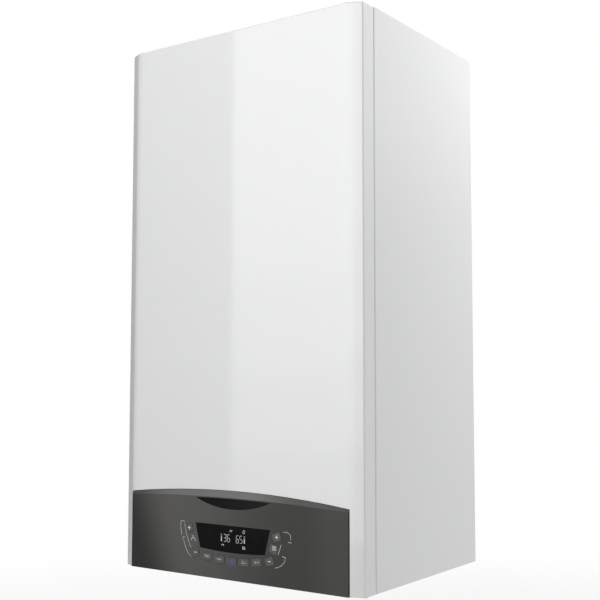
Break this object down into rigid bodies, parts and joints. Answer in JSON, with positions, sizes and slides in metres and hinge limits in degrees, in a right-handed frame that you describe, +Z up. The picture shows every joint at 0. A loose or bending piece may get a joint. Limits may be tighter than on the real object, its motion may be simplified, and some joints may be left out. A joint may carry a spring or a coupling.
{
  "type": "gas boiler",
  "caption": "Wall-hung condensing gas boiler: white folded casing, dark arched control panel that swings down, burner, fan, pump and water groups inside.",
  "frame": {"origin": "middle of the two wall screws of the hanging bracket, on the wall plane", "axes": "+Z up, +Y into the wall, the front faces -Y, +X to the right seen from the front"},
  "size_m": [0.4, 0.3195, 0.787],
  "materials": {
    "white_paint": "satin powder coat",
    "zinc_steel": "galvanised",
    "fascia_grey": "fine metallic satin",
    "gloss_black": "gloss",
    "key_blue": "dark, lit blue from behind",
    "key_grey": "satin",
    "board_green": "solder resist",
    "black_plastic": "moulded",
    "steel": "zinc plated",
    "white_plastic": "moulded",
    "stainless": "brushed",
    "cast_aluminium": "cast",
    "ceramic": "glazed",
    "red_paint": "baked paint",
    "copper": "drawn",
    "dark_composite": "glass filled",
    "knob_blue": "moulded",
    "knob_red": "moulded",
    "brass": "turned",
    "motor_paint": "baked paint",
    "trap_grey": "moulded",
    "rubber": "moulded"
  },
  "bodies": {
    "chassis": {"rear_frame": "zinc_steel", "hanging_bracket": "zinc_steel", "left_side_panel": "white_paint", "right_side_panel": "white_paint", "top_panel": "white_paint", "bottom_plate": "zinc_steel", "hinge_brackets": "zinc_steel", "cover_screws": "steel", "flue_collar": "white_plastic", "intake_caps": "black_plastic", "flue_pipe": "white_plastic", "exchanger_shell": "stainless", "exchanger_support": "zinc_steel", "exchanger_coil": "stainless", "burner": "stainless", "burner_door": "cast_aluminium", "ignition_electrode": "ceramic", "fan_volute": "cast_aluminium", "fan_motor": "black_plastic", "gas_air_mixer": "black_plastic", "intake_silencer": "black_plastic", "mixer_manifold": "cast_aluminium", "expansion_vessel": "red_paint", "expansion_pipe": "copper", "flow_block": "dark_composite", "return_block": "dark_composite", "safety_valve": "brass", "plate_heat_exchanger": "stainless", "pipe_unions": "brass", "pump_volute": "dark_composite", "pump_motor": "motor_paint", "return_pipe": "copper", "flow_pipe": "copper", "diverter_actuator": "white_plastic", "gas_valve": "cast_aluminium", "gas_pipes": "copper", "siphon_trap": "trap_grey", "condensate_hose": "rubber"},
    "cover": {"front_cover": "white_paint"},
    "control_panel": {"control_fascia": "fascia_grey", "badge_plate": "gloss_black", "display_lens": "gloss_black", "display_board": "board_green", "electrical_box": "black_plastic", "main_board": "board_green", "hinge_pins": "steel"},
    "fan_impeller": {"fan_impeller": "cast_aluminium"},
    "pump_impeller": {"pump_impeller": "white_plastic"},
    "diverter_spindle": {"diverter_spindle": "steel"},
    "filling_knob": {"filling_knob": "knob_blue"},
    "relief_knob": {"relief_knob": "knob_red"},
    "mode_key": {"mode_key": "key_grey"},
    "comfort_key": {"comfort_key": "key_grey"},
    "auto_key": {"auto_key": "key_blue"},
    "reset_key": {"reset_key": "key_grey"},
    "escape_key": {"escape_key": "key_grey"},
    "water_plus_key": {"water_plus_key": "key_grey"},
    "water_minus_key": {"water_minus_key": "key_grey"},
    "heating_plus_key": {"heating_plus_key": "key_grey"},
    "heating_minus_key": {"heating_minus_key": "key_grey"}
  },
  "joints": [
    {"name": "cover_pull", "type": "slide", "parent": "chassis", "child": "cover", "axis": [0, -1, 0], "range_m": [0, 0.3]},
    {"name": "panel_swing", "type": "hinge", "parent": "chassis", "child": "control_panel", "pos_m": [0, -0.3, -0.678], "axis": [1, 0, 0], "range_deg": [0, 85]},
    {"name": "fan_spin", "type": "hinge", "parent": "chassis", "child": "fan_impeller", "pos_m": [-0.1328, -0.25, -0.15], "axis": [0, 1, 0], "continuous": true},
    {"name": "pump_spin", "type": "hinge", "parent": "chassis", "child": "pump_impeller", "pos_m": [0.13, -0.14, -0.524], "axis": [0, 1, 0], "continuous": true},
    {"name": "diverter_slide", "type": "slide", "parent": "chassis", "child": "diverter_spindle", "axis": [0, 1, 0], "range_m": [0, 0.006]},
    {"name": "filling_turn", "type": "hinge", "parent": "chassis", "child": "filling_knob", "pos_m": [0.0975, -0.152, -0.67], "axis": [0, 0, 1], "range_deg": [0, 180]},
    {"name": "relief_turn", "type": "hinge", "parent": "chassis", "child": "relief_knob", "pos_m": [0.13, -0.18, -0.616], "axis": [0, -1, 0], "range_deg": [0, 90]},
    {"name": "mode_press", "type": "slide", "parent": "control_panel", "child": "mode_key", "axis": [0, 1, 0], "range_m": [0, 0.0008], "stiffness_N_per_m": 800},
    {"name": "comfort_press", "type": "slide", "parent": "control_panel", "child": "comfort_key", "axis": [0, 1, 0], "range_m": [0, 0.0008], "stiffness_N_per_m": 800},
    {"name": "auto_press", "type": "slide", "parent": "control_panel", "child": "auto_key", "axis": [0, 1, 0], "range_m": [0, 0.0008], "stiffness_N_per_m": 800},
    {"name": "reset_press", "type": "slide", "parent": "control_panel", "child": "reset_key", "axis": [0, 1, 0], "range_m": [0, 0.0008], "stiffness_N_per_m": 800},
    {"name": "escape_press", "type": "slide", "parent": "control_panel", "child": "escape_key", "axis": [0, 1, 0], "range_m": [0, 0.0008], "stiffness_N_per_m": 800},
    {"name": "water_plus_press", "type": "slide", "parent": "control_panel", "child": "water_plus_key", "axis": [0, 1, 0], "range_m": [0, 0.0008], "stiffness_N_per_m": 800},
    {"name": "water_minus_press", "type": "slide", "parent": "control_panel", "child": "water_minus_key", "axis": [0, 1, 0], "range_m": [0, 0.0008], "stiffness_N_per_m": 800},
    {"name": "heating_plus_press", "type": "slide", "parent": "control_panel", "child": "heating_plus_key", "axis": [0, 1, 0], "range_m": [0, 0.0008], "stiffness_N_per_m": 800},
    {"name": "heating_minus_press", "type": "slide", "parent": "control_panel", "child": "heating_minus_key", "axis": [0, 1, 0], "range_m": [0, 0.0008], "stiffness_N_per_m": 800}
  ]
}
